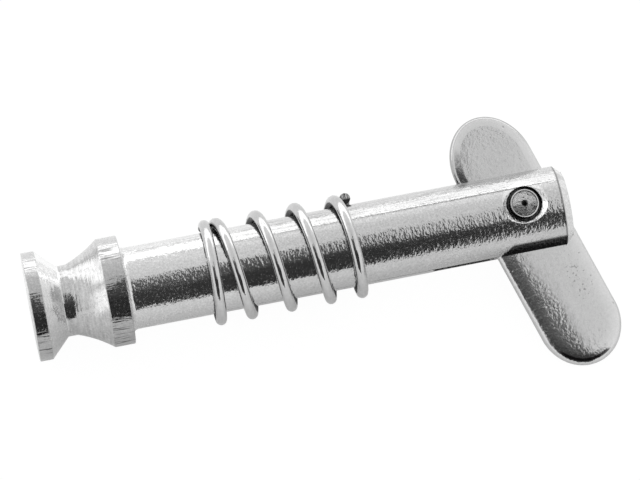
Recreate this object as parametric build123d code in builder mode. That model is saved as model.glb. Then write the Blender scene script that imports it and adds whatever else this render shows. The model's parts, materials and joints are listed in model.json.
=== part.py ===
"""Toggle clevis pin: a turned, headed pin with a toggle plate pivoted in its forked end, and a loose
compression spring round its shank.

The pin lies as it comes to rest when it is put down. Its head touches the surface, and so does the tip
of the toggle's long arm, which keeps the pin from rolling.
"""
import os
from math import asin, atan2, cos, degrees, hypot, radians, sin, sqrt

from build123d import *

# Frame: millimetres. The origin is the centre of the collar's bearing face, on the pin's axis.
# +X runs along the shank towards the toggle, and +Z is up.

# Head, from its outer end to the collar's bearing face
head_diameter = 8.0
rim_width = 0.95
rim_cone_length = 1.4
waist_diameter = 5.2
waist_width = 0.7
collar_cone_length = 2.5
collar_cone_hollow = 0.12  # how far the long cone is hollowed below a straight one
collar_width = 1.5
head_edge_break = 0.05

# Shank and fork
shank_diameter = 6.0
shank_length = 32.9
root_fillet = 0.4
end_chamfer = 0.6
slot_cutter_diameter = 8.0  # the slot's floor is hollow, as this disc cutter leaves it

# Toggle plate
toggle_thickness = 1.2
toggle_width = 6.1  # with its rounded edges it still passes through a running fit for the shank
toggle_long_arm = 12.6  # from the pivot to the tip
toggle_short_arm = 7.5
toggle_long_end = 3.35  # each end is half an ellipse, this long
toggle_short_end = 3.8
toggle_edge_round = 0.55
toggle_angle = 72.7  # between the long arm and the shank's axis, swung towards the pin's end
toggle_side_gap = 0.07  # each side, in the slot
toggle_end_gap = 1.1  # between the short arm's tip and the slot's floor, when the plate is in line
pivot_offset = 0.38  # of the rivet from the pin's axis, towards the short arm's side
toggle_hole_offset = 0.28  # from the plate's middle line, so that the plate swings almost in line

# Rivet and its hole
rivet_diameter = 2.1
rivet_set_back = 0.22  # how far each end stays below the shank's outside
rivet_edge_round = 0.2
punch_mark_diameter = 0.5
punch_mark_depth = 0.18
rivet_body_gap = 0.02  # radial, in the body: the rivet doesn't turn
rivet_toggle_gap = 0.05  # radial, in the toggle: a running fit
rivet_moat = 0.2  # radial width of the ring groove round each end of the rivet
rivet_moat_depth = 0.9  # below the shank's outside
countersink_diameter = 3.35
pivot_from_end = 3.32

# Spring: closed, cut ends and open middle turns, right-handed
wire_diameter = 0.8
spring_shank_gap = 0.1  # radial
spring_start = 6.45  # the first turn's wire centre, from the collar's bearing face
spring_closed_gap = 0.06  # between the wires of a closed turn
spring_free_pitch = 2.93
spring_free_turns = 3
spring_flat_share = 0.42  # of each closed turn, before its lead begins
spring_skew = 0.02  # how far each turn leans along the shank at its top
spring_lead_in = 0.05  # in turns, before the first one: the cut end lies a little behind
spring_start_angle = 24.0  # of the first turn, about the pin's axis, from +Y towards +Z
spring_steps_per_turn = 12

# Derived sizes
head_radius = head_diameter / 2
waist_radius = waist_diameter / 2
shank_radius = shank_diameter / 2
collar_start_x = -collar_width
waist_end_x = collar_start_x - collar_cone_length
waist_start_x = waist_end_x - waist_width
rim_start_x = waist_start_x - rim_cone_length
head_end_x = rim_start_x - rim_width
pivot_x = shank_length - pivot_from_end
rivet_radius = rivet_diameter / 2
rivet_half_length = sqrt(shank_radius**2 - pivot_offset**2) - rivet_set_back
slot_width = toggle_thickness + 2 * toggle_side_gap
slot_cutter_radius = slot_cutter_diameter / 2
slot_floor_x = pivot_x - toggle_short_arm - toggle_end_gap
long_end_centre = toggle_long_arm - toggle_long_end
short_end_centre = toggle_short_end - toggle_short_arm
wire_radius = wire_diameter / 2
coil_radius = shank_radius + spring_shank_gap + wire_radius
closed_turn_rise = wire_diameter + spring_closed_gap


def resting_roll():
    """The roll, in degrees, at which the long arm's tip reaches down to the surface under the head."""
    swung = radians(toggle_angle)
    end_centre_reach = long_end_centre * sin(swung) + toggle_hole_offset * cos(swung)
    end_reach = hypot(toggle_long_end * sin(swung), toggle_width / 2 * cos(swung))
    across = end_centre_reach + end_reach - pivot_offset - toggle_edge_round
    below = toggle_thickness / 2 - toggle_edge_round
    drop = head_radius - toggle_edge_round
    return degrees(asin(drop / hypot(across, below)) - atan2(below, across))


# The slot's middle plane, with its x on the pin's axis. The toggle swings in it, about the rivet's centre.
roll = radians(resting_roll())
slot_plane = Plane(origin=(pivot_x, 0, 0), x_dir=(1, 0, 0), z_dir=(0, -sin(roll), cos(roll)))
pivot_point = slot_plane.from_local_coords((0, pivot_offset, 0))
swing_plane = Plane(origin=pivot_point, x_dir=slot_plane.x_dir, z_dir=slot_plane.z_dir)
# The toggle's own plane is the same one, with its x along the long arm.
long_arm_direction = swing_plane.x_dir.rotate(Axis((0, 0, 0), swing_plane.z_dir), -toggle_angle)
toggle_plane = Plane(origin=pivot_point, x_dir=long_arm_direction, z_dir=swing_plane.z_dir)
rivet_end_planes = (swing_plane, -swing_plane)


with BuildPart() as pin_body:
    with BuildSketch(Plane.XY):
        with BuildLine():
            Polyline(
                (head_end_x, 0),
                (head_end_x, head_radius),
                (rim_start_x, head_radius),
                (waist_start_x, waist_radius),
                (waist_end_x, waist_radius),
            )
            SagittaArc((waist_end_x, waist_radius), (collar_start_x, head_radius), -collar_cone_hollow)
            Polyline(
                (collar_start_x, head_radius),
                (0, head_radius),
                (0, shank_radius),
                (shank_length, shank_radius),
                (shank_length, 0),
                (head_end_x, 0),
            )
        make_face()
    revolve(axis=Axis.X)
    turned_edges = pin_body.edges().filter_by(GeomType.CIRCLE)
    bearing_face_edges = turned_edges.filter_by(lambda edge: abs(edge.arc_center.X) < 1e-6)
    collar_rim = bearing_face_edges.sort_by(SortBy.RADIUS)[-1]
    chamfer([turned_edges.sort_by(Axis.X)[0], collar_rim], head_edge_break)
    root_edge = pin_body.edges().filter_by(GeomType.CIRCLE).filter_by(
        lambda edge: abs(edge.arc_center.X) < 1e-6 and abs(edge.radius - shank_radius) < 1e-6
    )
    fillet(root_edge, root_fillet)
    chamfer(pin_body.edges().filter_by(GeomType.CIRCLE).sort_by(Axis.X)[-1], end_chamfer)
    # The slot: the disc cutter's half round at its floor, then straight out through the end
    with BuildSketch(slot_plane):
        with Locations((slot_floor_x + slot_cutter_radius - pivot_x, 0)):
            Circle(slot_cutter_radius)
            Rectangle(shank_length, slot_cutter_diameter, align=(Align.MIN, Align.CENTER))
    extrude(amount=slot_width / 2, both=True, mode=Mode.SUBTRACT)
    # The rivet's hole, with a ring groove and a countersink at each end
    for side in rivet_end_planes:
        with Locations(side.offset(shank_radius)):
            CounterSinkHole(
                radius=rivet_radius + rivet_moat,
                counter_sink_radius=countersink_diameter / 2,
                depth=rivet_moat_depth,
                counter_sink_angle=90,
            )
    with Locations(swing_plane):
        Hole(radius=rivet_radius + rivet_body_gap)
pin_body.part.label = "pin_body"


with BuildPart() as toggle:
    with BuildSketch(toggle_plane):
        with Locations((long_end_centre, -toggle_hole_offset)):
            Ellipse(toggle_long_end, toggle_width / 2)
        with Locations((short_end_centre, -toggle_hole_offset)):
            Ellipse(toggle_short_end, toggle_width / 2)
            Rectangle(long_end_centre - short_end_centre, toggle_width, align=(Align.MIN, Align.CENTER))
    extrude(amount=toggle_thickness / 2, both=True)
    fillet(toggle.faces().filter_by(toggle_plane).edges(), toggle_edge_round)
    with Locations(toggle_plane):
        Hole(radius=rivet_radius + rivet_toggle_gap)
toggle.part.label = "toggle"


with BuildPart() as rivet:
    with BuildSketch(swing_plane):
        Circle(rivet_radius)
    extrude(amount=rivet_half_length, both=True)
    fillet(rivet.edges().filter_by(GeomType.CIRCLE), rivet_edge_round)
    for side in rivet_end_planes:
        with Locations(side.offset(rivet_half_length)):
            Cone(
                bottom_radius=0,
                top_radius=punch_mark_diameter / 2,
                height=punch_mark_depth,
                align=(Align.CENTER, Align.CENTER, Align.MAX),
                mode=Mode.SUBTRACT,
            )
rivet.part.label = "rivet"


def ramp_rise(share):
    """How far a lead that eases in from nothing to full has risen, at this share of its ease."""
    return share**3 - share**4 / 2


def wire_rise(turns):
    """How far the wire has climbed after so many turns: flat, easing in, then at the free pitch."""
    turn_count = spring_free_turns + 2
    if turns > turn_count / 2:
        return 2 * wire_rise(turn_count / 2) - wire_rise(turn_count - turns)
    if turns >= 1:
        return closed_turn_rise + spring_free_pitch * (turns - 1)
    ease = 1 - spring_flat_share
    share = max(0.0, turns - spring_flat_share) / ease
    return closed_turn_rise * ramp_rise(share) / ramp_rise(1)


def wire_point(turns):
    """The wire's centre after so many turns; the lead-in's turns are below nought."""
    turned = radians(360 * turns)
    angle = radians(spring_start_angle) + turned
    along = spring_start + wire_rise(turns) + spring_skew * cos(turned)
    return Vector(along, coil_radius * cos(angle), coil_radius * sin(angle))


step_count = spring_steps_per_turn * (spring_free_turns + 2)
wire_points = [wire_point(-spring_lead_in)]
wire_points += [wire_point(step / spring_steps_per_turn) for step in range(step_count + 1)]

with BuildPart() as spring:
    with BuildLine() as wire_path:
        start_tangent = wire_point(0.001 - spring_lead_in) - wire_points[0]
        arc = TangentArc(wire_points[0], wire_points[1], tangent=start_tangent)
        for point in wire_points[2:]:
            arc = TangentArc(arc @ 1, point, tangent=arc % 1)
    with BuildSketch(Plane(origin=wire_points[0], z_dir=wire_path.line % 0)):
        Circle(wire_radius)
    sweep(path=wire_path.line)
spring.part.label = "spring"


os.makedirs("parts", exist_ok=True)
export_step(pin_body.part, "parts/pin_body.step")
export_step(toggle.part, "parts/toggle.step")
export_step(rivet.part, "parts/rivet.step")
export_step(spring.part, "parts/spring.step")
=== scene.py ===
"""The look of the toggle clevis pin: its turned body, toggle plate, rivet and spring, and a plain studio."""

import json
from math import cos, degrees, hypot, pi, radians, sin, sqrt

import bmesh
import bpy
from bpy.props import FloatProperty, FloatVectorProperty, IntProperty, PointerProperty
from mathutils import Matrix, Vector


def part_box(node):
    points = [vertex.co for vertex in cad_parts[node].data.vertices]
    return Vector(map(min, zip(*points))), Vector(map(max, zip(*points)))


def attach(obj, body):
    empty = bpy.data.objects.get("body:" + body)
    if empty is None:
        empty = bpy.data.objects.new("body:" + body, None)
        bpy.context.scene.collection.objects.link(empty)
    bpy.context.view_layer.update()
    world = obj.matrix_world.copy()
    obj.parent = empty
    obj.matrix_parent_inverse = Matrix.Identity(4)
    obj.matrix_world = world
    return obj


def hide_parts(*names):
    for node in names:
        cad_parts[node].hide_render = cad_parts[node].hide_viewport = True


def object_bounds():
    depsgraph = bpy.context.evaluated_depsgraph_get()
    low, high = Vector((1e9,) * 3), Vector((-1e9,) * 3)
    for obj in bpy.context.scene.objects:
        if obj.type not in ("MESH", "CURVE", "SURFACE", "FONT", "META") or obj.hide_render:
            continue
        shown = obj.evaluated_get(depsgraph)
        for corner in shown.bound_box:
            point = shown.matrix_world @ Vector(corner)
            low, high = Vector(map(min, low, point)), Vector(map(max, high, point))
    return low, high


bl_info = {
    "name": "Toggle Clevis Pin",
    "version": (1, 0, 0),
    "blender": (4, 5, 0),
    "location": "3D View > Sidebar > Clevis Pin",
    "description": "Models a headed pin with a swinging toggle plate, its rivet and its spring",
    "category": "Add Mesh",
}

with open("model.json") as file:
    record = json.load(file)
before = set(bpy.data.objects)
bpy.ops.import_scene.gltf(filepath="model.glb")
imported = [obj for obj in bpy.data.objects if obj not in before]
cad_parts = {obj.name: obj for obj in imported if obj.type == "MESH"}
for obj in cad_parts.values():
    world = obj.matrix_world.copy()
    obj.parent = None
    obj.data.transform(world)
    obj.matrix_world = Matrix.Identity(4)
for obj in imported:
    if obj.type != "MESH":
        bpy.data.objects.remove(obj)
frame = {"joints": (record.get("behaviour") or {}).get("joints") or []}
cad_low, cad_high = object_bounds()

MM = 0.001

# Places that the frame gives: the pin's two ends on its axis, and the rivet that the toggle swings on
pin_low, pin_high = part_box("pin_body")
swing = next(joint for joint in frame["joints"] if joint["name"] == "toggle_swing")
pivot = Vector(swing["pos_m"])
rivet_axis = Vector(swing["axis"]).normalized()
along = Vector((1, 0, 0))
across = rivet_axis.cross(along)
floor_height = cad_low.z

SAME_PLACE = 1e-7  # in metres: vertices that are nearer to each other are merged
NEAR = 1e-6  # in metres: how exactly a place is met when vertices are chosen

# The card's outline, in millimetres to the right of the camera and above it
CARD_CORNERS = (
    (-20, 150), (-8, 152), (-4, 168), (5, 168), (12, 148), (34, 142), (48, 90), (62, 40), (78, 0), (105, -40),
    (240, -60), (260, -730), (-250, -560), (-250, 50), (-22, 66),
)
CARD_TOP_GAIN = 1.6  # how much lighter the card grows towards its top
# The screen's dark seams: height above the horizon and half width in degrees, and depth
SCREEN_SEAMS = ((33, 1.6, 0.12), (17, 1.0, 0.55), (3, 1.2, 0.45))
FLOOR_RADIUS = 3.0
FLOOR_WHITE = 0.93  # how far the floor glows where it is seen straight; the rest is matt and takes the shadow
SHADE_DEPTH = 0.93  # how much of the steel's colour the painted shade in recesses and between parts takes away
HOLE_SIDES = 96  # facets round the rivet and its holes
CUTTER_SIDES = 256


def length(name, value, description):
    return FloatProperty(name=name, default=value * MM, unit="LENGTH", precision=5, description=description)


def angle(name, value, description):
    return FloatProperty(name=name, default=radians(value), unit="ROTATION", description=description)


def whole_number(name, value, low, high, description):
    return IntProperty(name=name, default=value, min=low, max=high, description=description)


def number(name, value, description, low=0.0, high=10.0):
    return FloatProperty(name=name, default=value, min=low, max=high, description=description)


def colour(name, value, description):
    return FloatVectorProperty(
        name=name, subtype="COLOR", default=value, min=0.0, max=1.0, description=description
    )


# ---------------------------------------------------------------------------------------------------------
# Sizes and colours


class PinBodySizes(bpy.types.PropertyGroup):
    head_diameter: length("Head diameter", 8.0, "Across the rim and the collar")
    rim_width: length("Rim width", 0.95, "Along the pin, at the head's outer end")
    rim_cone_length: length("Rim cone", 1.4, "Along the pin, from the rim down to the waist")
    waist_diameter: length("Waist diameter", 5.2, "Across the head's narrowest place")
    waist_width: length("Waist width", 0.7, "Along the pin")
    collar_cone_length: length("Collar cone", 2.5, "Along the pin, from the waist up to the collar")
    collar_cone_hollow: length("Cone hollow", 0.12, "How far the long cone dips below a straight one")
    edge_break: length("Edge break", 0.05, "Chamfer on the rim's outer edge and the collar's inner one")
    tool_radius: length("Tool radius", 0.03, "Rounding that the turning tool leaves at the head's corners")
    shank_diameter: length("Shank diameter", 6.0, "Across the shank")
    root_fillet: length("Root fillet", 0.4, "Where the shank meets the collar's bearing face")
    end_chamfer: length("End chamfer", 0.6, "On the shank's free end")
    slot_width: length("Slot width", 1.34, "Across the slot that the toggle lies in")
    slot_cutter_diameter: length("Slot cutter", 8.0, "Of the disc cutter that hollows the slot's floor")
    slot_depth: length("Slot depth", 11.92, "From the shank's free end to the middle of the slot's floor")
    slot_edge_break: length("Slot edge break", 0.04, "Softening of the slot's and the countersinks' edges")
    countersink_diameter: length("Countersink", 3.35, "Across the countersink round each end of the rivet")
    moat_width: length("Moat width", 0.2, "Radial gap round each end of the rivet")
    moat_depth: length("Moat depth", 0.9, "Below the shank's outside")
    sides: whole_number("Sides", 320, 32, 512, "Facets round the pin")


class ToggleSizes(bpy.types.PropertyGroup):
    thickness: length("Thickness", 1.2, "Of the plate")
    width: length("Width", 6.1, "Across the plate")
    long_arm: length("Long arm", 12.6, "From the rivet to the far tip")
    short_arm: length("Short arm", 7.5, "From the rivet to the near tip")
    long_end: length("Long end", 3.35, "Length of the half ellipse at the far tip")
    short_end: length("Short end", 3.8, "Length of the half ellipse at the near tip")
    hole_offset: length("Hole offset", 0.28, "Of the rivet's hole from the plate's middle line")
    corner_radius: length("Corner radius", 0.44, "Of the worn corner, from the plate's wall up to its crown")
    crown_radius: length("Crown radius", 2.9, "Of the gentle crown, from the corner to the flat face")
    crown_tilt: angle("Crown tilt", 20.0, "Of the surface, where the corner meets the crown")
    face_tilt: angle("Face tilt", 2.0, "Of the surface, where the crown meets the face")
    dome_rise: length("Dome rise", 0.012, "How much the worn faces still rise towards the plate's middle")
    hole_diameter: length("Hole diameter", 2.2, "The running hole on the rivet")
    rest_angle: angle("Rest angle", 72.7, "Between the long arm and the shank, with the part at rest")


class RivetSizes(bpy.types.PropertyGroup):
    pivot_offset: length("Pivot offset", 0.38, "Of the rivet from the pin's axis")
    diameter: length("Diameter", 2.1, "Of the rivet")
    set_back: length("Set back", 0.22, "How far each end stays below the shank's outside")
    lip_width: length("Lip width", 0.13, "Of the raised ring that upsetting leaves round each end")
    lip_rise: length("Lip rise", 0.04, "Of that ring, rounded over its width")
    dome_rise: length("Dome rise", 0.09, "Of the hammered middle above its own edge")
    punch_mark_diameter: length("Punch mark", 0.5, "Across the punch mark in each end")
    punch_mark_depth: length("Punch depth", 0.18, "Of the punch mark")


class SpringSizes(bpy.types.PropertyGroup):
    wire_diameter: length("Wire diameter", 0.8, "Of the round wire")
    shank_gap: length("Shank gap", 0.1, "Between the shank and the inside of the turns")
    start: length("Start", 6.45, "The first turn's wire centre, from the collar's bearing face")
    closed_gap: length("Closed gap", 0.06, "Between the wires of a closed turn")
    free_pitch: length("Free pitch", 2.93, "From one open turn to the next")
    free_turns: whole_number("Free turns", 3, 1, 12, "Open turns between the closed ones")
    flat_share: number("Flat share", 0.42, "Of each closed turn, before its lead begins", high=0.9)
    skew: length("Skew", 0.02, "How far each turn leans along the shank at its top")
    start_angle: angle("Start angle", 24.0, "About the pin's axis, where the first turn begins")
    lead_in: number("Lead-in", 0.05, "Of the wire before its first turn, in turns", high=0.5)
    steps_per_turn: whole_number("Steps", 48, 12, 96, "Path points in each turn")


class SteelLook(bpy.types.PropertyGroup):
    turned_colour: colour("Turned steel", (0.64, 0.64, 0.64), "The body's bare steel")
    plate_colour: colour("Toggle steel", (0.62, 0.62, 0.62), "The toggle's tumbled steel")
    rivet_colour: colour("Rivet steel", (0.43, 0.43, 0.43), "The rivet's softer steel")
    wire_colour: colour("Spring steel", (0.57, 0.57, 0.57), "The spring's drawn wire")
    head_roughness: number("Head roughness", 0.09, "Of the freshly turned head", high=1.0)
    shank_roughness: number("Shank roughness", 0.09, "Of the drawn shank", high=1.0)
    plate_roughness: number("Toggle roughness", 0.16, "Of the tumbled plate", high=1.0)
    wire_roughness: number("Wire roughness", 0.1, "Of the spring's wire", high=1.0)


class StudioLook(bpy.types.PropertyGroup):
    azimuth: angle("Azimuth", -11.132, "Of the camera, from the front")
    elevation: angle("Elevation", 65.441, "Of the camera, above the floor")
    roll: angle("Roll", -0.701, "Of the camera")
    distance: length("Distance", 350.0, "From the camera to the point it is aimed at")
    focal_length: number("Focal length", 269.74, "Of the lens, in millimetres", low=1.0, high=2000.0)
    aim: FloatVectorProperty(
        name="Aim",
        subtype="XYZ",
        default=(0.0146115, 0.000738, 0.0004678),
        description="The point that the camera looks at",
    )
    room_light: number("Room light", 1.0, "Strength of the plain light from all round")
    backdrop_light: number("Backdrop light", 1.85, "Strength of the bright screen behind the part")
    floor_tone: number("Floor tone", 0.82, "How pale the floor is in the steel", high=1.0)
    floor_glow: number("Floor glow", 0.75, "How far the steel sees the floor as plain white", high=1.0)
    card_tone: number("Card tone", 0.045, "How dark the camera's side of the room is in the steel", high=1.0)


# ---------------------------------------------------------------------------------------------------------
# Modelling by hand: small helpers round Blender's own operators


def deselect_all():
    if bpy.context.object and bpy.context.object.mode != "OBJECT":
        bpy.ops.object.mode_set(mode="OBJECT")
    bpy.ops.object.select_all(action="DESELECT")


def take(piece):
    """Makes the piece the only selected one, and the active one."""
    deselect_all()
    piece.select_set(True)
    bpy.context.view_layer.objects.active = piece


def choose(piece, kind, test):
    """In edit mode, selects the vertices, edges or faces whose middle passes the test."""
    bpy.ops.mesh.select_mode(type=kind)
    bpy.ops.mesh.select_all(action="DESELECT")
    mesh = bmesh.from_edit_mesh(piece.data)
    for item in {"VERT": mesh.verts, "EDGE": mesh.edges, "FACE": mesh.faces}[kind]:
        corners = [item.co] if kind == "VERT" else [vertex.co for vertex in item.verts]
        middle = sum(corners, Vector()) / len(corners)
        item.select_set(bool(test(middle)))
    bmesh.update_edit_mesh(piece.data)


def finish_shape(piece, name, crease=30):
    """Merges doubles, turns the faces outwards, shades them smooth and names the piece."""
    take(piece)
    bpy.ops.object.mode_set(mode="EDIT")
    bpy.ops.mesh.select_all(action="SELECT")
    bpy.ops.mesh.remove_doubles(threshold=SAME_PLACE)
    bpy.ops.mesh.normals_make_consistent(inside=False)
    bpy.ops.object.mode_set(mode="OBJECT")
    bpy.ops.object.transform_apply(location=True, rotation=True, scale=True)
    bpy.ops.object.shade_smooth_by_angle(angle=radians(crease))
    piece.name = piece.data.name = name


def turn_outline(points, sides, rounded=(), radius=0.0, segments=3):
    """Draws an outline of (x, distance from the axis) corners, rounds some and spins it about the X axis."""
    deselect_all()
    bpy.ops.mesh.primitive_plane_add(size=MM, location=(0, 0, 0))
    piece = bpy.context.object
    bpy.ops.object.mode_set(mode="EDIT")
    bpy.ops.mesh.select_mode(type="VERT")
    bpy.ops.mesh.select_all(action="SELECT")
    bpy.ops.mesh.merge(type="CENTER")
    x, r = points[0]
    bpy.ops.transform.translate(value=(x, 0, r))
    for next_x, next_r in points[1:]:
        bpy.ops.mesh.extrude_vertices_move(TRANSFORM_OT_translate={"value": (next_x - x, 0, next_r - r)})
        x, r = next_x, next_r
    if rounded:
        choose(piece, "VERT", lambda spot: any(hypot(spot.x - cx, spot.z - cr) < NEAR for cx, cr in rounded))
        bpy.ops.mesh.bevel(affect="VERTICES", offset=radius, segments=segments)
    bpy.ops.mesh.select_all(action="SELECT")
    bpy.ops.mesh.spin(steps=sides, angle=2 * pi, center=(0, 0, 0), axis=(1, 0, 0))
    bpy.ops.mesh.select_all(action="SELECT")
    bpy.ops.mesh.remove_doubles(threshold=SAME_PLACE)
    bpy.ops.mesh.normals_make_consistent(inside=False)
    bpy.ops.object.mode_set(mode="OBJECT")
    return piece


def lay_on(piece, x_axis, y_axis, z_axis, origin):
    """Moves the piece's mesh so that its own axes and origin lie on these."""
    turn = Matrix((x_axis, y_axis, z_axis)).transposed().to_4x4()
    piece.matrix_world = Matrix.Translation(origin) @ turn
    take(piece)
    bpy.ops.object.transform_apply(location=True, rotation=True, scale=True)


def cut(piece, cutter):
    """Cuts the cutter's shape out of the piece and throws the cutter away."""
    take(piece)
    boolean = piece.modifiers.new("Cut", "BOOLEAN")
    boolean.operation = "DIFFERENCE"
    boolean.solver = "EXACT"
    boolean.object = cutter
    bpy.ops.object.modifier_apply(modifier=boolean.name)
    bpy.data.objects.remove(cutter)


# ---------------------------------------------------------------------------------------------------------
# Shader maths


class Value:
    """A socket of a finish's node tree. Arithmetic on it adds Math nodes."""

    def __init__(self, finish, socket):
        self.finish = finish
        self.socket = socket

    def maths(self, operation, *others):
        return self.finish.node("ShaderNodeMath", {"operation": operation}, [self, *others])

    def __add__(self, other):
        return self.maths("ADD", other)

    __radd__ = __add__

    def __sub__(self, other):
        return self.maths("SUBTRACT", other)

    def __rsub__(self, other):
        return self.finish.node("ShaderNodeMath", {"operation": "SUBTRACT"}, [other, self])

    def __mul__(self, other):
        return self.maths("MULTIPLY", other)

    __rmul__ = __mul__

    def __truediv__(self, other):
        return self.maths("DIVIDE", other)

    def __pow__(self, other):
        return self.maths("POWER", other)

    def __lt__(self, other):
        return self.maths("LESS_THAN", other)

    def __gt__(self, other):
        return self.maths("GREATER_THAN", other)

    def above_zero(self):
        return self.maths("MAXIMUM", 0.0)

    def unsigned(self):
        return self.maths("ABSOLUTE")

    def ramp(self, start, end):
        """0 up to start, 1 from end on, and smooth between them; start may be above end."""
        low, high = min(start, end), max(start, end)
        share = self.finish.node(
            "ShaderNodeMapRange",
            {"interpolation_type": "SMOOTHSTEP"},
            {"Value": self, "From Min": low, "From Max": high},
        )
        return share if start < end else 1 - share


class Finish:
    """A node tree for a material or the world, with one method for every node."""

    def __init__(self, owner):
        owner.use_nodes = True
        self.tree = owner.node_tree
        self.tree.nodes.clear()

    def node(self, kind, settings=None, inputs=(), output=0):
        """Adds a node: its settings first, then the values or links of its sockets. Gives one output."""
        made = self.tree.nodes.new(kind)
        for name, setting in (settings or {}).items():
            setattr(made, name, setting)
        pairs = inputs.items() if isinstance(inputs, dict) else enumerate(inputs)
        for key, given in pairs:
            if isinstance(given, Value):
                self.tree.links.new(given.socket, made.inputs[key])
            else:
                made.inputs[key].default_value = given
        return Value(self, made.outputs[output]) if made.outputs else None

    def place_mm(self):
        """The place on the part, in millimetres, as a vector and its three numbers."""
        place = self.node("ShaderNodeTexCoord", output="Object")
        scaled = self.node("ShaderNodeVectorMath", {"operation": "SCALE"}, {"Vector": place, "Scale": 1 / MM})
        return (scaled, *(self.node("ShaderNodeSeparateXYZ", None, [scaled], output=name) for name in "XYZ"))

    def vector(self, x, y, z):
        return self.node("ShaderNodeCombineXYZ", None, [x, y, z])

    def reach_along(self, place, start, direction):
        """How far along a direction a place lies from the start, in millimetres."""
        offset = self.node("ShaderNodeVectorMath", {"operation": "SUBTRACT"}, [place, tuple(start)])
        return self.node(
            "ShaderNodeVectorMath", {"operation": "DOT_PRODUCT"}, [offset, tuple(direction)], output="Value"
        )

    def round_rivet(self, place):
        """Distance from the rivet's axis, and distance along it from the pivot, in millimetres."""
        offset = self.node("ShaderNodeVectorMath", {"operation": "SUBTRACT"}, [place, tuple(pivot / MM)])
        height = self.reach_along(place, pivot / MM, rivet_axis)
        reach = self.node("ShaderNodeVectorMath", {"operation": "LENGTH"}, [offset], output="Value")
        return (reach * reach - height * height).above_zero() ** 0.5, height.unsigned()

    def noise(self, vector, scale=1.0, detail=2.0, roughness=0.5):
        """Soft noise about 0, from about -0.5 to 0.5."""
        inputs = {"Vector": vector, "Scale": scale, "Detail": detail, "Roughness": roughness}
        return self.node("ShaderNodeTexNoise", None, inputs) - 0.5

    def tint(self, base, factor):
        """The base colour, darkened or lightened by a number."""
        grey = self.vector(factor, factor, factor)
        return self.node("ShaderNodeVectorMath", {"operation": "MULTIPLY"}, [tuple(base), grey])

    def bump(self, height_mm):
        return self.node("ShaderNodeBump", None, {"Height": height_mm, "Distance": MM, "Strength": 1.0})

    def steel(self, base_colour, roughness, normal):
        inputs = {"Base Color": base_colour, "Metallic": 1.0, "Roughness": roughness, "Normal": normal}
        shader = self.node("ShaderNodeBsdfPrincipled", None, inputs)
        self.node("ShaderNodeOutputMaterial", None, [shader])


def new_finish(name):
    material = bpy.data.materials.new(name)
    return material, Finish(material)


def wear(piece, material, slot, body, *nodes):
    """Gives the piece its only material and its body, and lets it stand for its CAD nodes. The slot is not
    used.
    """
    piece.data.materials.clear()
    piece.data.materials.append(material)
    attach(piece, body)
    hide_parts(*nodes)


# ---------------------------------------------------------------------------------------------------------
# Finishes. Places, relief and noise scales are in millimetres on the part, where +X runs to the fork, +Y to
# the back and +Z up. Tones and shades are shares of the steel's own colour.


def head_shade(sizes, x, y, head, barrel, tool_lines, dark_line_noise):
    """How much darker than bare steel the head is: darker rim and collar with lighter cones between them,
    painted light towards the back, and a painted highlight band with dark lines.
    """
    short_cone_end = (pin_low.x + sizes.rim_width + sizes.rim_cone_length) / MM + 0.1
    cones = head * (1 - barrel)
    long_cone = cones * (x > short_cone_end)
    short_cone = cones * (x < short_cone_end)
    # Painted light: the rim, the collar and most of all the short cone are lighter on their side towards the
    # back
    lit_side = y.ramp(-1, 1.5)
    shade = barrel * (0.32 - lit_side * 0.1) + long_cone * 0.22 + short_cone * (0.1 - lit_side * 0.42)
    # The long cone is lighter at the front of its steep end, and shows its tool lines
    steep_end_lighter = long_cone * x.ramp(-3.0, -1.9) * y.ramp(-2.9, -2.3) * y.ramp(-0.9, -1.5)
    shade = shade - steep_end_lighter * 0.5 - long_cone * tool_lines * 0.5
    # Dark lines along the pin, partly scores and partly painted reflections, mark the rim and the collar at
    # their front and in the highlight band on top, which is painted lighter
    front = y.ramp(-2.6, -3.2)
    highlight_band = y.ramp(0.6, 0.9) * y.ramp(2.6, 2.2)
    return shade + barrel * (dark_line_noise.ramp(0.06, 0.18) * (front + highlight_band) * 0.5 - highlight_band * 0.14)


def shank_shade(x, y, z, shank, dark_line_noise):
    """How much darker than bare steel the shank is: painted shade on its front towards the fork, and along
    its top, where the highlight lies, painted dimming with dark streaks.
    """
    top = shank * y.ramp(0.8, 1.1) * z.ramp(0.0, 1.0)
    near_fork = shank * x.ramp(6, 14)
    return near_fork * (0.1 - y.ramp(0.1, 0.5) * 0.1 + top * 0.2) + top * dark_line_noise.above_zero() * 0.9


def slot_mouth_shadow(f, place, x, height, last_x):
    """Where painted shadow blackens the slot's mouth, on the side where the long arm swings out."""
    start, full = 27.2, 28.4  # along the pin, where the painted shadow begins and where it reaches farthest
    out_side = f.reach_along(place, pivot / MM, across) < -1.5
    length_way = (x > start + 0.2) * (x < last_x)
    return out_side * length_way * (height - x.ramp(start, full)).ramp(0.9, 0.68)


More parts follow.
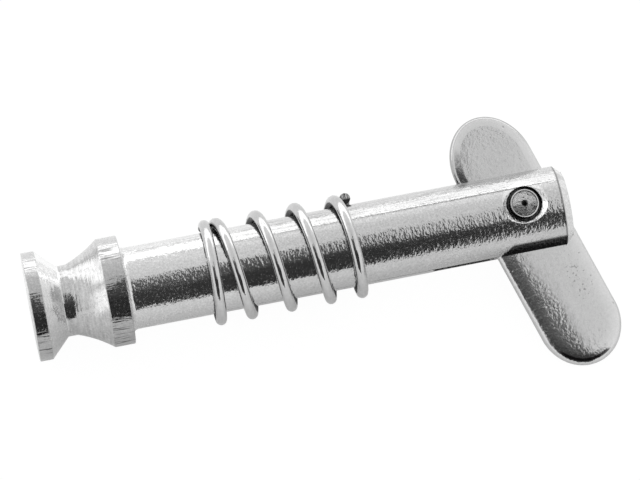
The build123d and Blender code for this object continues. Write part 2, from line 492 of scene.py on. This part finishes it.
def turned_steel(look, sizes, moat_radius):
    """The body: bright turned head with tool lines, and a drawn shank with grain across it."""
    material, f = new_finish("turned_steel")
    place, x, y, z = f.place_mm()
    radius = (y * y + z * z) ** 0.5
    head_radius = sizes.head_diameter / 2 / MM
    shank_radius = sizes.shank_diameter / 2 / MM
    chamfer_start = (pin_high.x - sizes.end_chamfer) / MM
    shank = x.ramp(0.0, 0.05)
    head = 1 - shank
    barrel = head * radius.ramp(head_radius - 0.06, head_radius - 0.02)

    def streaks(line, line_scale, round_scale, detail=1, roughness=0.5):
        """Noise with one scale along a line of the pin and another round it."""
        vector = f.vector(line * line_scale, y * round_scale, z * round_scale)
        return f.noise(vector, detail=detail, roughness=roughness)

    # Tool lines run round the pin. They follow x on the turned lengths and the radius on the end faces.
    lathe = x + radius * 0.37
    tool_lines = streaks(lathe, 5, 0.7)
    turned = (head - barrel * 0.65) * (streaks(lathe, 13, 0.4) * 0.004 + tool_lines * 0.014)

    # The shank's grain is a fine pebbling, a little drawn out round the pin, and rougher towards the fork
    worn = 0.75 + x.ramp(8, 34) * 0.95 + x.ramp(9, 2) * 0.5
    pebbles = streaks(x, 8, 6)
    waves = streaks(x, 0.5, 0.9)
    drawn = shank * ((streaks(x, 4.6, 2.4) * 0.016 + pebbles * 0.009) * worn + waves * 0.01)

    # Handling has left faint scratches along the pin
    scratches = streaks(x, 0.7 * head + 0.3 * shank, 5, detail=2)
    scratched = scratches * (barrel * 0.03 + shank * 0.005)
    normal = f.bump(turned + drawn + scratched + head * pebbles * 0.003)

    # The rim and the collar are darker than the cones between them, and light and shade are painted on the
    # head and the shank
    dark_line_noise = streaks(x, 0.5, 6)
    shade = head_shade(sizes, x, y, head, barrel, tool_lines, dark_line_noise) + shank_shade(x, y, z, shank, dark_line_noise)
    reach, height = f.round_rivet(place)
    moat = (reach < moat_radius / MM + 0.03) * (height > shank_radius - sizes.moat_depth / MM - 0.1)
    countersink = (reach < sizes.countersink_diameter / 2 / MM) * (height > shank_radius * 2 / 3)
    # Painted shade keeps the moats black and draws a dark line where the end chamfer begins; the end chamfer
    # is painted lighter, and the countersinks are lighter
    chamfer_edge_shade = 1 - (x - chamfer_start).unsigned().ramp(0.03, 0.11)
    tone = 1 - shade + countersink * 0.2 + (x > chamfer_start) * 0.2
    tone = tone * (1 - moat * SHADE_DEPTH) * (1 - chamfer_edge_shade * 0.6)
    # Painted shadow blackens the slot's mouth beside the long arm
    tone = tone * (1 - slot_mouth_shadow(f, place, x, height, chamfer_start + 0.03) * 0.9)
    # The upper back of every turned length is painted lighter: a painted reflection of the bright floor
    # behind the part
    tone = tone * (1 + (y / radius).ramp(0.5, 0.62) * 0.32)

    # Faint stains and fine specks, which are also rougher
    stain = streaks(x, 1.1, 1.1, detail=3)
    speckle = streaks(x, 7, 6, detail=2, roughness=0.65)
    even = head * look.head_roughness + shank * look.shank_roughness * worn
    roughness = even + speckle.above_zero() * (1.15 - shank * x.ramp(3, 7) * 0.25)
    f.steel(f.tint(look.turned_colour, tone * (1 + stain * 0.12 + speckle * 0.8)), roughness, normal)
    return material


def tumbled_steel(look, sizes, near_centre, long_way, side_way):
    """The toggle: flat grey and softly worn by tumbling, and more pitted towards its rounded edges."""
    material, f = new_finish("tumbled_steel")
    place = f.place_mm()[0]
    reach = (sizes.long_arm + sizes.short_arm - sizes.long_end - sizes.short_end) / MM
    down = f.reach_along(place, near_centre / MM, long_way)
    aside = f.reach_along(place, near_centre / MM, side_way)
    height = f.reach_along(place, near_centre / MM, rivet_axis).unsigned()
    past_ends = down - down.above_zero().maths("MINIMUM", reach)
    from_middle = (past_ends * past_ends + aside * aside) ** 0.5
    short_arm = down.ramp(5, 0)
    edge = from_middle.ramp(0.9, 2.2) * (1 - short_arm * 0.6)

    # Relief: soft wear all over, dimples and pebbles, pits, and hollows beside the long arm's dark edge
    worn = f.noise(place, scale=0.55, detail=2)
    dimples = f.noise(place, scale=3.2, detail=2, roughness=0.6)
    pebbles = f.noise(place, scale=7, detail=1)
    pits = f.noise(place, scale=2.6, detail=1).ramp(0.25, 0.34)
    hollow_place = aside.ramp(-0.4, -1.1) * aside.ramp(-2.4, -1.8) * down.ramp(8, 11.5)
    hollows = f.noise(place, scale=4.5, detail=1) * hollow_place
    rough = dimples * (0.005 + edge * 0.013) + pebbles * edge * 0.007 + hollows * 0.02
    # The long arm falls away on the side of the head, and the short arm's crown is worn flatter
    fallen_side = aside.maths("MINIMUM", 0.0)
    fallen = fallen_side * fallen_side * down.ramp(5, reach + 2.5)
    flatter = (sizes.thickness / 2 / MM - height.maths("MAXIMUM", 0.54)) * short_arm * 0.95
    normal = f.bump(worn * 0.01 + rough - pits * 0.015 - fallen * 0.025 + flatter)

    # Specks along the long arm; painted shade on the short arm's rounded rim except along one side, and on
    # its edge towards the head; a painted dark line along the long arm's tip
    speck_place = aside.ramp(0.6, 1.0) * aside.ramp(2.6, 2.2) * down.ramp(8.8, 9.4) * down.ramp(12.0, 11.4)
    specks = f.noise(place, scale=5.5, detail=1).ramp(0.12, 0.2) * speck_place
    rim_shade = height.ramp(0.42, 0.36) * short_arm * (1 - aside.ramp(0, 1.5) * down.ramp(-1.5, 0))
    head_side_edge_shade = height.ramp(0.40, 0.44) * height.ramp(0.56, 0.53) * aside.ramp(-1.7, -2.1)
    head_side_edge_shade = head_side_edge_shade * down.ramp(-3.0, -1.4) * short_arm * (0.8 + pebbles * 1.5)
    tip_shade_line = height.ramp(0.38, 0.42) * height.ramp(0.49, 0.46)
    tip_shade_line = tip_shade_line * (down - aside * 0.43).ramp(reach + 2.3, reach + 2.6)
    tone = 1 - specks * 0.4 - head_side_edge_shade * 0.5 + worn * 0.06 + dimples * 0.1 + pebbles * 0.12 - pits * 0.3
    tone = tone * (1 - rim_shade * 0.3) * (1 - tip_shade_line * 0.88)
    f.steel(f.tint(look.plate_colour, tone), look.plate_roughness + dimples.above_zero() * 0.4, normal)
    return material


def upset_steel(look, sizes, half_length):
    """The rivet: hammered ends with small nicks and a bright lip, and painted shade on half of each face, in
    the punch marks and on the sides.
    """
    material, f = new_finish("upset_steel")
    place, x, y, z = f.place_mm()
    reach, height = f.round_rivet(place)
    radius = sizes.diameter / 2 / MM
    top = half_length / MM
    lip = reach.ramp(radius - 0.16, radius - 0.1)
    face = 1 - lip
    side = 1 - height.ramp(top - 0.14, top - 0.08)
    mark = reach < sizes.punch_mark_diameter / 2 / MM
    hammered = f.noise(place, scale=3.2, detail=3, roughness=0.6)
    nicks = f.noise(f.vector(x * 2.2, y * 5, z * 5), detail=1).ramp(0.1, 0.18)
    # Painted shade lies on the half of the face that is nearer to the long arm, inside the lip
    shaded_half = f.reach_along(place, pivot / MM, across).ramp(0.1, -0.4) * (1 - (reach > 0.92))
    normal = f.bump((hammered * 0.18 - nicks * 0.05 - reach * reach * 0.3) * face)
    # Painted shade darkens the sides, down in the hole, and the punch mark
    tone = (1 + hammered * 0.3 - nicks * face * 0.6 + lip * 0.6) * (1 - side * SHADE_DEPTH)
    tone = tone * (1 - mark * 0.7) * (1 - shaded_half * 0.4)
    f.steel(f.tint(look.rivet_colour, tone), 0.2 + hammered * 0.15, normal)
    return material


def drawn_wire(look, coil_radius):
    """The spring: smooth drawn wire with faint die lines, and painted shade on the inside of its turns."""
    material, f = new_finish("drawn_wire")
    place, x, y, z = f.place_mm()
    radius = (y * y + z * z) ** 0.5
    lines = f.noise(f.vector(x * 7, y * 1.2, z * 1.2), detail=2)
    grain = f.noise(place, scale=4, detail=2, roughness=0.6)
    # Painted shade blackens the inside of the turns, which lie close to the shank
    inner_shade = (radius + grain * 0.1).ramp(coil_radius / MM + 0.02, coil_radius / MM - 0.1)
    normal = f.bump(lines * 0.006 + grain * 0.006)
    colour = f.tint(look.wire_colour, (1 + lines * 0.25 + grain * 0.25) * (1 - inner_shade * SHADE_DEPTH))
    f.steel(colour, look.wire_roughness + inner_shade * 0.3 + grain.above_zero() * 0.3, normal)
    return material


# ---------------------------------------------------------------------------------------------------------
# Pieces


def hollow_cone(start, end, hollow, steps=10):
    """Points between two corners of an outline, on an arc that dips towards the axis by the hollow."""
    run = Vector((end[0] - start[0], end[1] - start[1]))
    dip = Vector((run.y, -run.x)).normalized()
    points = []
    for step in range(1, steps):
        share = step / steps
        point = Vector(start) + run * share + dip * hollow * 4 * share * (1 - share)
        points.append((point.x, point.y))
    return points


class MESH_OT_clevis_pin_body(bpy.types.Operator):
    """Turn the pin's head and shank, and cut its slot and rivet holes"""

    bl_idname = "mesh.clevis_pin_body"
    bl_label = "Pin Body"

    def execute(self, context):
        sizes = context.scene.pin_body_sizes
        head_radius = sizes.head_diameter / 2
        waist_radius = sizes.waist_diameter / 2
        shank_radius = sizes.shank_diameter / 2
        rim_start = pin_low.x + sizes.rim_width
        waist_start = rim_start + sizes.rim_cone_length
        waist_end = waist_start + sizes.waist_width
        collar_start = waist_end + sizes.collar_cone_length
        edge = sizes.edge_break
        corners = [(rim_start, head_radius), (waist_start, waist_radius), (waist_end, waist_radius)]
        corners.append((collar_start, head_radius))
        fillet = sizes.root_fillet
        turns = [radians(degree) for degree in range(0, 91, 10)]
        root = [(fillet * (1 - cos(turn)), shank_radius + fillet * (1 - sin(turn))) for turn in turns]
        outline = [
            (pin_low.x, 0),
            (pin_low.x, head_radius - edge),
            (pin_low.x + edge, head_radius),
            *corners[:3],
            *hollow_cone(corners[2], corners[3], sizes.collar_cone_hollow),
            corners[3],
            (-edge, head_radius),
            (0, head_radius - edge),
            *root,
            (pin_high.x - sizes.end_chamfer, shank_radius),
            (pin_high.x, shank_radius - sizes.end_chamfer),
            (pin_high.x, 0),
        ]
        body = turn_outline(outline, sizes.sides, rounded=corners, radius=sizes.tool_radius)
        cut(body, self.slot_cutter(sizes))
        for side in (rivet_axis, -rivet_axis):
            cut(body, self.rivet_hole_cutter(context, sizes, shank_radius, side))
        finish_shape(body, "turned_pin")
        self.break_cut_edges(body, sizes)
        moat_radius = context.scene.rivet_sizes.diameter / 2 + sizes.moat_width
        wear(body, turned_steel(context.scene.steel_look, sizes, moat_radius), "pin_steel", "pin", "pin_body")
        return {"FINISHED"}

    def slot_cutter(self, sizes):
        """The disc cutter's half round, run straight out through the pin's end."""
        cutter_radius = sizes.slot_cutter_diameter / 2
        deselect_all()
        width = sizes.slot_width
        bpy.ops.mesh.primitive_cylinder_add(vertices=CUTTER_SIDES, radius=cutter_radius, depth=width)
        cutter = bpy.context.object
        bpy.ops.object.mode_set(mode="EDIT")
        choose(cutter, "VERT", lambda spot: spot.x > NEAR)
        bpy.ops.transform.translate(value=(sizes.slot_depth, 0, 0))
        bpy.ops.object.mode_set(mode="OBJECT")
        middle = Vector((pin_high.x - sizes.slot_depth + cutter_radius, 0, 0))
        lay_on(cutter, along, across, rivet_axis, middle)
        return cutter

    def rivet_hole_cutter(self, context, sizes, shank_radius, side):
        """The rivet's hole on one side: a countersink, then the moat down to its floor."""
        moat_radius = context.scene.rivet_sizes.diameter / 2 + sizes.moat_width
        sink_radius = sizes.countersink_diameter / 2
        sink_floor = shank_radius - (sink_radius - moat_radius)
        above = shank_radius + sizes.moat_depth
        outline = [
            (shank_radius - sizes.moat_depth, 0),
            (shank_radius - sizes.moat_depth, moat_radius),
            (sink_floor, moat_radius),
            (shank_radius, sink_radius),
            (above, sink_radius),
            (above, 0),
        ]
        cutter = turn_outline(outline, HOLE_SIDES)
        lay_on(cutter, side, along, side.cross(along), pivot)
        return cutter

    def break_cut_edges(self, body, sizes):
        """Softens the edges that the slot and the countersinks left on the shank."""
        take(body)
        bevel = body.modifiers.new("Edge break", "BEVEL")
        bevel.width = sizes.slot_edge_break
        bevel.segments = 2
        bevel.limit_method = "ANGLE"
        bevel.angle_limit = radians(50)
        bevel.use_clamp_overlap = False
        bevel.harden_normals = True
        bpy.ops.object.modifier_apply(modifier=bevel.name)
        # The large faces keep their own direction where small bevels meet them
        weighted = body.modifiers.new("Weighted normals", "WEIGHTED_NORMAL")
        weighted.keep_sharp = True
        weighted.weight = 100
        bpy.ops.object.modifier_apply(modifier=weighted.name)


class MESH_OT_clevis_toggle(bpy.types.Operator):
    """Stamp the toggle plate, round its edges and drill its hole"""

    bl_idname = "mesh.clevis_toggle"
    bl_label = "Toggle"

    def execute(self, context):
        sizes = context.scene.toggle_sizes
        half_width = sizes.width / 2
        reach = sizes.long_arm + sizes.short_arm - sizes.long_end - sizes.short_end
        deselect_all()
        corners = 160
        bpy.ops.mesh.primitive_circle_add(
            vertices=corners, radius=half_width, fill_type="NGON", rotation=(0, 0, pi / corners)
        )
        plate = bpy.context.object
        bpy.ops.object.transform_apply(rotation=True)
        bpy.ops.object.mode_set(mode="EDIT")
        for side, end_length in ((-1, sizes.short_end), (1, sizes.long_end)):
            choose(plate, "VERT", lambda spot: spot.x * side > 0)
            bpy.ops.transform.resize(value=(end_length / half_width, 1, 1), center_override=(0, 0, 0))
        bpy.ops.transform.translate(value=(reach, 0, 0))
        profile = self.crown(sizes)
        bpy.ops.mesh.select_mode(type="FACE")
        bpy.ops.mesh.select_all(action="SELECT")
        bpy.ops.transform.translate(value=(0, 0, profile[0][1]))
        for (inset, height), (next_inset, next_height) in zip(profile, profile[1:]):
            bpy.ops.mesh.inset(thickness=next_inset - inset, depth=next_height - height)
        bpy.ops.object.mode_set(mode="OBJECT")
        mirror = plate.modifiers.new("Other face", "MIRROR")
        mirror.use_axis = (False, False, True)
        mirror.merge_threshold = SAME_PLACE
        bpy.ops.object.modifier_apply(modifier=mirror.name)
        finish_shape(plate, "toggle_plate", crease=60)
        long_way = along * cos(sizes.rest_angle) - across * sin(sizes.rest_angle)
        side_way = rivet_axis.cross(long_way)
        near_centre = pivot - long_way * (sizes.short_arm - sizes.short_end) - side_way * sizes.hole_offset
        lay_on(plate, long_way, side_way, rivet_axis, near_centre)
        deselect_all()
        hole_radius = sizes.hole_diameter / 2
        through = sizes.thickness * 3
        bpy.ops.mesh.primitive_cylinder_add(vertices=HOLE_SIDES, radius=hole_radius, depth=through)
        drill = bpy.context.object
        lay_on(drill, along, across, rivet_axis, pivot)
        cut(plate, drill)
        finish_shape(plate, "toggle_plate", crease=40)
        finish = tumbled_steel(context.scene.steel_look, sizes, near_centre, long_way, side_way)
        wear(plate, finish, "toggle_steel", "toggle", "toggle")
        return {"FINISHED"}

    def crown(self, sizes):
        """Steps (inset, height) up the plate's edge: worn corner, gentle crown and nearly flat face."""
        steps = []
        inset = height = 0.0
        turn = pi / 2
        for radius, last_tilt, count in (
            (sizes.corner_radius, sizes.crown_tilt, 10),
            (sizes.crown_radius, sizes.face_tilt, 8),
        ):
            first_tilt = turn
            for step in range(1, count + 1):
                next_turn = first_tilt + (last_tilt - first_tilt) * step / count
                inset += radius * (sin(turn) - sin(next_turn))
                height += radius * (cos(next_turn) - cos(turn))
                turn = next_turn
                steps.append((inset, height))
        dome_steps = 5
        dome_width = sizes.width * 0.36 - inset
        for step in range(1, dome_steps + 1):
            share = step / dome_steps
            rise = sizes.dome_rise * (1 - (1 - share) ** 2)
            steps.append((inset + dome_width * share, height + rise))
        top = steps[-1][1]
        wall = sizes.thickness / 2 - top
        return [(0.0, 0.0), *((step_inset, wall + step_height) for step_inset, step_height in steps)]


class MESH_OT_clevis_rivet(bpy.types.Operator):
    """Make the rivet, with its upset and punched ends"""

    bl_idname = "mesh.clevis_rivet"
    bl_label = "Rivet"

    def execute(self, context):
        sizes = context.scene.rivet_sizes
        shank_radius = context.scene.pin_body_sizes.shank_diameter / 2
        half_length = sqrt(shank_radius**2 - sizes.pivot_offset**2) - sizes.set_back
        radius = sizes.diameter / 2
        mark_radius = sizes.punch_mark_diameter / 2
        lip_middle = radius - sizes.lip_width / 2
        lip_top = half_length - sizes.dome_rise / 2
        dome_edge = radius - sizes.lip_width * 1.3
        # Corners (height, reach), from the punch mark out over the dome and the lip to the wall
        near_end = [
            (half_length - sizes.punch_mark_depth, 0),
            (half_length - sizes.punch_mark_depth * 0.8, mark_radius * 0.6),
            (half_length - sizes.dome_rise * 0.1, mark_radius),
        ]
        dome_steps = 5
        for step in range(1, dome_steps + 1):
            reach = mark_radius + (dome_edge - mark_radius) * step / dome_steps
            near_end.append((half_length - sizes.dome_rise * (reach / dome_edge) ** 2, reach))
        near_end += [
            (lip_top - sizes.lip_rise * 0.2, lip_middle - sizes.lip_width * 0.35),
            (lip_top, lip_middle),
            (lip_top - sizes.lip_rise * 0.3, lip_middle + sizes.lip_width * 0.35),
            (lip_top - sizes.lip_rise * 1.6, radius),
        ]
        far_end = [(-x, r) for x, r in reversed(near_end)]
        rivet = turn_outline(near_end + far_end, HOLE_SIDES)
        lay_on(rivet, rivet_axis, along, rivet_axis.cross(along), pivot)
        finish_shape(rivet, "upset_rivet", crease=50)
        wear(rivet, upset_steel(context.scene.steel_look, sizes, half_length), "rivet_steel", "pin", "rivet")
        return {"FINISHED"}


class MESH_OT_clevis_spring(bpy.types.Operator):
    """Coil the loose spring, with closed turns at both ends"""

    bl_idname = "mesh.clevis_spring"
    bl_label = "Spring"

    def execute(self, context):
        sizes = context.scene.spring_sizes
        turns = sizes.free_turns + 2 + sizes.lead_in
        steps = round(turns * sizes.steps_per_turn)
        wire = bpy.data.curves.new("spring_path", "CURVE")
        wire.dimensions = "3D"
        wire.bevel_depth = sizes.wire_diameter / 2
        wire.bevel_resolution = 7
        wire.use_fill_caps = True
        path = wire.splines.new("POLY")
        path.points.add(steps)
        for step, point in enumerate(path.points):
            point.co = (*self.wire_point(context, turns * step / steps - sizes.lead_in), 1)
        spring = bpy.data.objects.new("spring_path", wire)
        context.scene.collection.objects.link(spring)
        take(spring)
        bpy.ops.object.convert(target="MESH")
        spring = bpy.context.object
        finish_shape(spring, "coiled_spring", crease=40)
        finish = drawn_wire(context.scene.steel_look, self.coil_radius(context))
        wear(spring, finish, "spring_steel", "spring", "spring")
        return {"FINISHED"}

    def coil_radius(self, context):
        """From the pin's axis to the middle of the wire."""
        sizes = context.scene.spring_sizes
        shank_radius = context.scene.pin_body_sizes.shank_diameter / 2
        return shank_radius + sizes.shank_gap + sizes.wire_diameter / 2

    def wire_rise(self, sizes, turns):
        """How far the wire has climbed after so many turns: flat, easing in, then at the free pitch."""
        turn_count = sizes.free_turns + 2
        closed_rise = sizes.wire_diameter + sizes.closed_gap
        if turns > turn_count / 2:
            return 2 * self.wire_rise(sizes, turn_count / 2) - self.wire_rise(sizes, turn_count - turns)
        if turns >= 1:
            return closed_rise + sizes.free_pitch * (turns - 1)
        share = max(0.0, turns - sizes.flat_share) / (1 - sizes.flat_share)
        return closed_rise * (2 * share**3 - share**4)

    def wire_point(self, context, turns):
        """The wire's centre after so many turns from its start."""
        sizes = context.scene.spring_sizes
        coil_radius = self.coil_radius(context)
        turned = 2 * pi * turns
        around = sizes.start_angle + turned
        x = sizes.start + self.wire_rise(sizes, turns) + sizes.skew * cos(turned)
        return x, coil_radius * cos(around), coil_radius * sin(around)


# ---------------------------------------------------------------------------------------------------------
# The studio


def camera_axes(studio):
    """The camera's back, right and up directions, from its azimuth, elevation and roll."""
    turn, lift = studio.azimuth, studio.elevation
    back = Vector((sin(turn) * cos(lift), -cos(turn) * cos(lift), sin(lift)))
    level = Vector((cos(turn), sin(turn), 0))
    high = back.cross(level)
    right = level * cos(studio.roll) + high * sin(studio.roll)
    return back, right, back.cross(right)


def floor_material(studio):
    """A pale matt floor. Its own glow keeps it white where it is seen straight, and behind the part."""
    material, f = new_finish("pale_floor")
    straight = f.node("ShaderNodeLightPath", output="Is Camera Ray")
    mirrored = f.node("ShaderNodeLightPath", output="Is Glossy Ray")
    matt = f.node("ShaderNodeBsdfDiffuse", None, {"Color": (*[studio.floor_tone] * 3, 1)})
    glow = f.node("ShaderNodeEmission", None, {"Color": (1, 1, 1, 1), "Strength": 1.03})
    y = f.place_mm()[2]
    far = y.ramp(-10, 15) * studio.floor_glow
    seen = f.node("ShaderNodeMixShader", None, [straight * FLOOR_WHITE + mirrored * far, matt, glow])
    f.node("ShaderNodeOutputMaterial", None, [seen])
    return material


def card_material(studio):
    """Nearly black, and a little lighter towards the top."""
    material, f = new_finish("dark_card")
    up = camera_axes(studio)[2]
    top = f.reach_along(f.place_mm()[0], Vector(studio.aim) / MM, up).ramp(-130, 20)
    tone = (top * CARD_TOP_GAIN + 1) * studio.card_tone
    glow = f.node("ShaderNodeEmission", None, {"Color": f.vector(tone, tone, tone), "Strength": 1.0})
    f.node("ShaderNodeOutputMaterial", None, [glow])
    return material


class OBJECT_OT_clevis_studio(bpy.types.Operator):
    """Set up the floor, the room's light, the dark card and the camera"""

    bl_idname = "object.clevis_studio"
    bl_label = "Studio"

    def execute(self, context):
        studio = context.scene.studio_look
        self.make_floor(studio)
        self.make_card(studio)
        self.light_room(context, studio)
        self.place_camera(context, studio)
        context.scene.view_settings.view_transform = "Standard"
        return {"FINISHED"}

    def make_floor(self, studio):
        deselect_all()
        bpy.ops.mesh.primitive_circle_add(
            vertices=96, radius=FLOOR_RADIUS, fill_type="NGON", location=(0, 0, floor_height)
        )
        ground = bpy.context.object
        ground.name = "floor"
        bpy.ops.object.transform_apply(location=True)
        ground.data.materials.append(floor_material(studio))

    def make_card(self, studio):
        """A dark card round the camera, that only the steel sees."""
        back, right, up = camera_axes(studio)
        centre = Vector(studio.aim) + back * studio.distance
        outline = [centre + right * x * MM + up * y * MM for x, y in CARD_CORNERS]
        mesh = bpy.data.meshes.new("dark_card")
        mesh.from_pydata(outline, [], [list(range(len(outline)))])
        card = bpy.data.objects.new("dark_card", mesh)
        bpy.context.scene.collection.objects.link(card)
        mesh.materials.append(card_material(studio))
        card.visible_camera = False
        card.visible_diffuse = False
        card.visible_shadow = False
        card.visible_transmission = False

    def light_room(self, context, studio):
        """Plain light from all round, and a bright screen with seams low behind the part."""
        world = bpy.data.worlds.new("room")
        context.scene.world = world
        f = Finish(world)
        direction = f.node("ShaderNodeTexCoord", output="Generated")
        x, y, z = (f.node("ShaderNodeSeparateXYZ", None, [direction], output=name) for name in "XYZ")
        lift = z.maths("ARCSINE") * degrees(1)
        # The screen ends low over the horizon and at its two sides, and the room is dimmer overhead
        screen = lift.ramp(32, 29) * (y + x * 0.25).ramp(-0.12, 0.05) * (y - x * 0.5).ramp(0.0, 0.25)
        seams = 1
        for height, width, depth in SCREEN_SEAMS:
            seams = seams * (1 - depth * (lift - height).unsigned().ramp(width, width * 0.4))
        room = studio.room_light * (1.12 - 0.22 * lift.ramp(25, 80))
        strength = (room + screen * (studio.backdrop_light - studio.room_light)) * seams
        camera_ray = f.node("ShaderNodeLightPath", output="Is Camera Ray")
        seen = camera_ray + (1 - camera_ray) * strength
        glow = f.node("ShaderNodeBackground", None, {"Color": (1, 1, 1, 1), "Strength": seen})
        f.node("ShaderNodeOutputWorld", None, [glow])

    def place_camera(self, context, studio):
        back, right, up = camera_axes(studio)
        camera = bpy.data.objects.new("camera", bpy.data.cameras.new("camera"))
        context.scene.collection.objects.link(camera)
        camera.data.lens = studio.focal_length
        camera.data.sensor_width = 36
        camera.data.clip_start = 0.01
        camera.data.clip_end = 10
        turn = Matrix((right, up, back)).transposed().to_4x4()
        camera.matrix_world = Matrix.Translation(Vector(studio.aim) + back * studio.distance) @ turn
        context.scene.camera = camera


class VIEW3D_PT_clevis_pin(bpy.types.Panel):
    """One button for each piece and one for the studio"""

    bl_label = "Clevis Pin"
    bl_idname = "VIEW3D_PT_clevis_pin"
    bl_space_type = "VIEW_3D"
    bl_region_type = "UI"
    bl_category = "Clevis Pin"

    def draw(self, context):
        for operator in OPERATORS:
            self.layout.operator(operator.bl_idname)


GROUPS = {
    "pin_body_sizes": PinBodySizes,
    "toggle_sizes": ToggleSizes,
    "rivet_sizes": RivetSizes,
    "spring_sizes": SpringSizes,
    "steel_look": SteelLook,
    "studio_look": StudioLook,
}
OPERATORS = (
    MESH_OT_clevis_pin_body,
    MESH_OT_clevis_toggle,
    MESH_OT_clevis_rivet,
    MESH_OT_clevis_spring,
    OBJECT_OT_clevis_studio,
)


def register():
    for group in GROUPS.values():
        bpy.utils.register_class(group)
    for operator in OPERATORS:
        bpy.utils.register_class(operator)
    bpy.utils.register_class(VIEW3D_PT_clevis_pin)
    for name, group in GROUPS.items():
        setattr(bpy.types.Scene, name, PointerProperty(type=group))


def unregister():
    for name in GROUPS:
        delattr(bpy.types.Scene, name)
    for made in (VIEW3D_PT_clevis_pin, *reversed(OPERATORS), *reversed(GROUPS.values())):
        bpy.utils.unregister_class(made)


def main():
    register()
    bpy.ops.mesh.clevis_pin_body()
    bpy.ops.mesh.clevis_toggle()
    bpy.ops.mesh.clevis_rivet()
    bpy.ops.mesh.clevis_spring()
    bpy.ops.object.clevis_studio()


if __name__ == "__main__":
    main()
